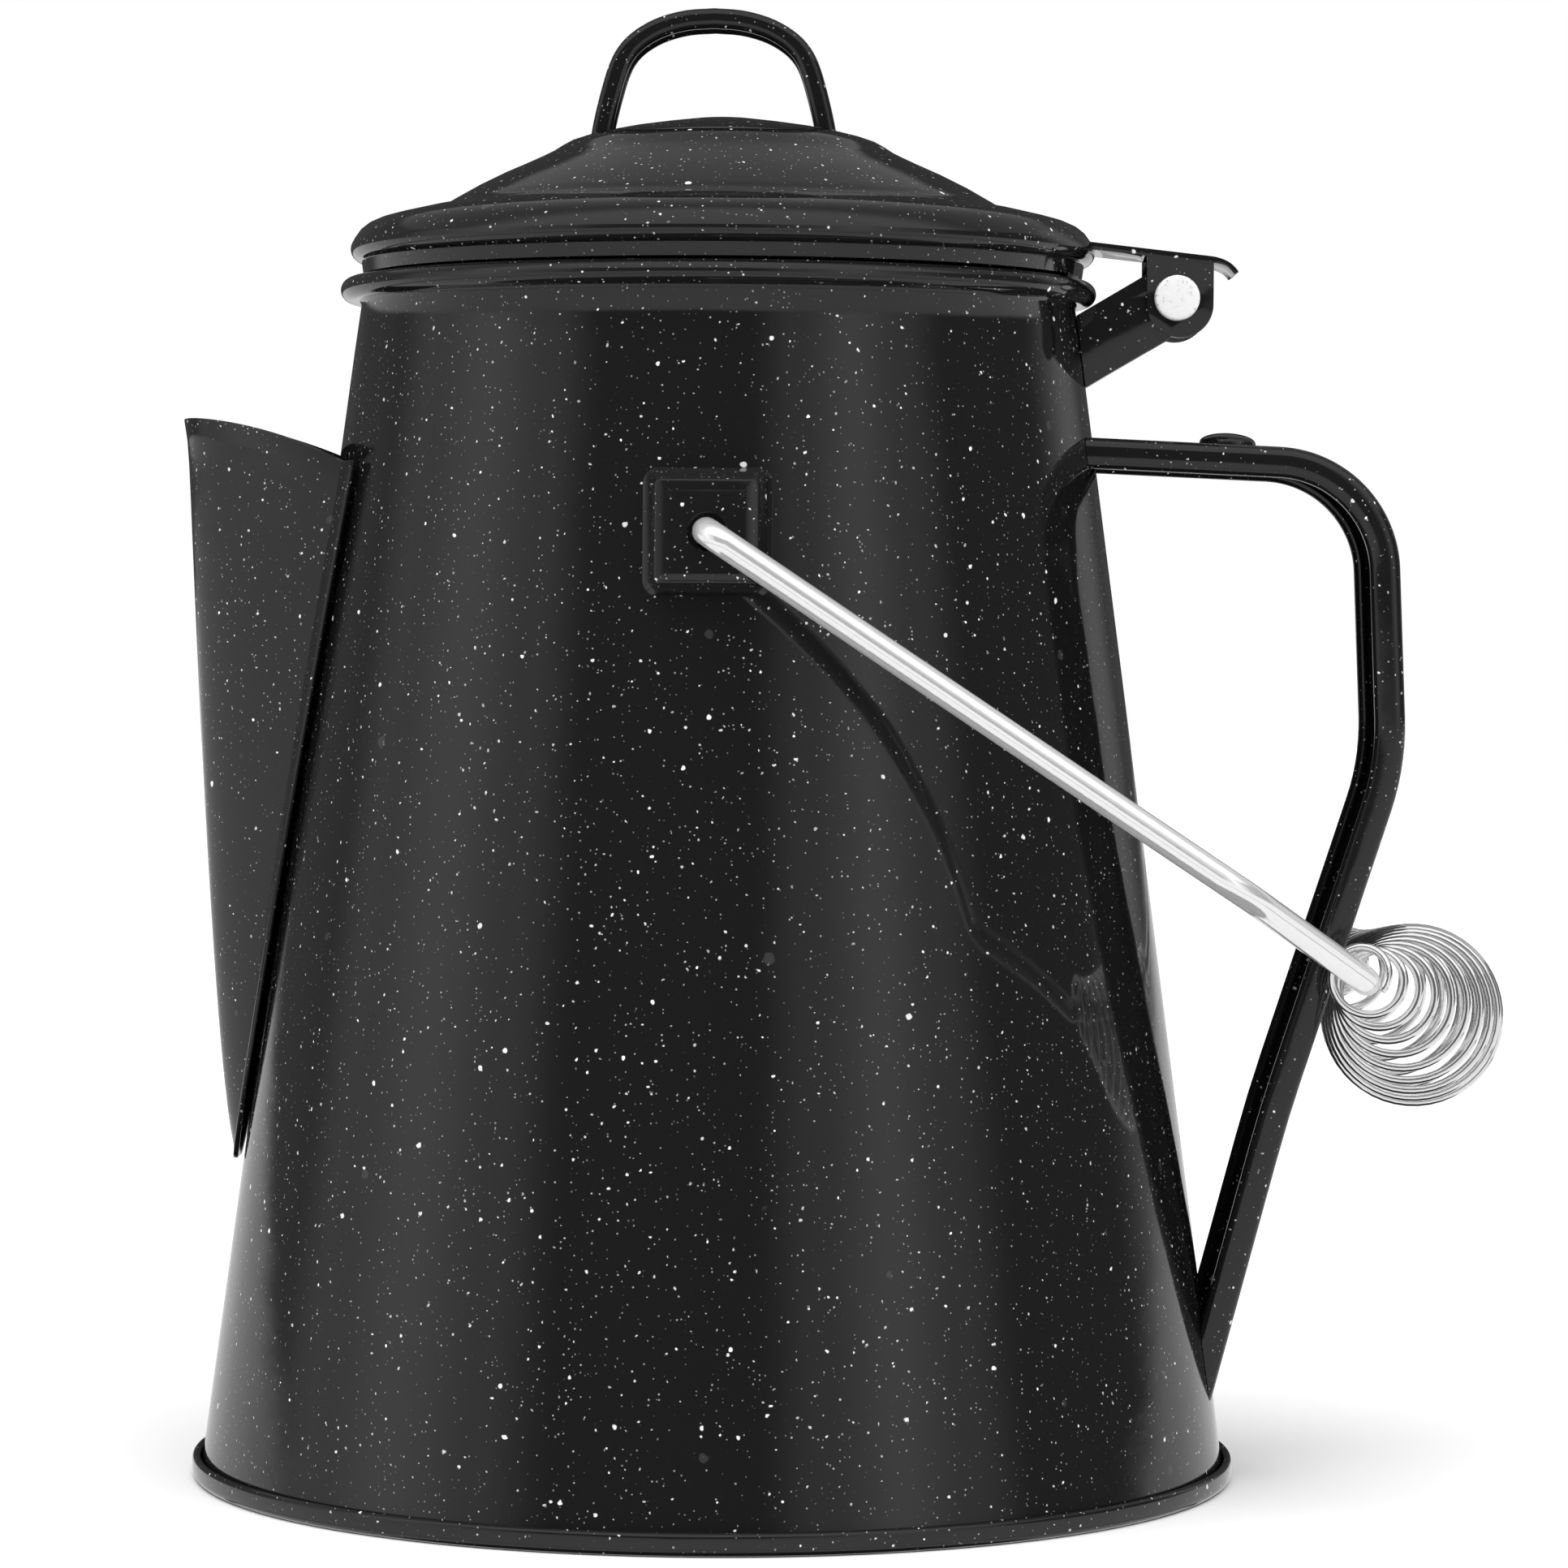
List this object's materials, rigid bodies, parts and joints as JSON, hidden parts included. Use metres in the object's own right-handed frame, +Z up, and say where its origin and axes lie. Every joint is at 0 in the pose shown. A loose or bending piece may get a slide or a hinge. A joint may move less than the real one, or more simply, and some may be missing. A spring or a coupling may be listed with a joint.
{
  "type": "coffee percolator",
  "caption": "Enamelled conical stovetop coffee pot with a V spout, strap handle, hinged domed lid, wire bail with a coiled grip, and a lift-out pump and basket.",
  "frame": {"origin": "centre of the base's flat underside, on the pot's turning axis", "axes": "+Z up along the pot's turning axis; the spout points along -X and the strap handle along +X; the XZ plane halves the pot"},
  "size_m": [0.2598, 0.204, 0.2863],
  "materials": {
    "enamel": "glossy black enamel with fine white speckles",
    "wire": "bright plated wire",
    "rivet": "bright rivet",
    "insert": "plain spun aluminium"
  },
  "bodies": {
    "pot": {"pot_body": "enamel", "pot_base": "enamel", "spout": "enamel", "strap_handle": "enamel", "handle_button": "enamel", "hinge_bracket": "enamel", "hinge_pin": "rivet", "bail_ear_left": "enamel", "bail_ear_right": "enamel"},
    "lid": {"lid": "enamel", "lid_handle": "enamel", "hinge_leaf": "enamel"},
    "bail": {"bail_wire": "wire", "coil_grip": "wire"},
    "pump": {"pump_stem": "insert", "pump_bell": "insert", "stem_collar": "insert"},
    "basket": {"coffee_basket": "insert"},
    "spreader": {"basket_lid": "insert"}
  },
  "joints": [
    {"name": "lid_hinge", "type": "hinge", "parent": "pot", "child": "lid", "pos_m": [0.0891, 0, 0.2301], "axis": [0, 1, 0], "range_deg": [0, 105]},
    {"name": "bail_swing", "type": "hinge", "parent": "pot", "child": "bail", "pos_m": [0, 0, 0.1833], "axis": [0, -1, 0], "range_deg": [0, 248]},
    {"name": "pump_lift", "type": "slide", "parent": "pot", "child": "pump", "axis": [0, 0, 1], "range_m": [0, 0.01]},
    {"name": "basket_lift", "type": "slide", "parent": "pump", "child": "basket", "axis": [0, 0, 1], "range_m": [0, 0.008]},
    {"name": "spreader_lift", "type": "slide", "parent": "basket", "child": "spreader", "axis": [0, 0, 1], "range_m": [0, 0.005]}
  ]
}
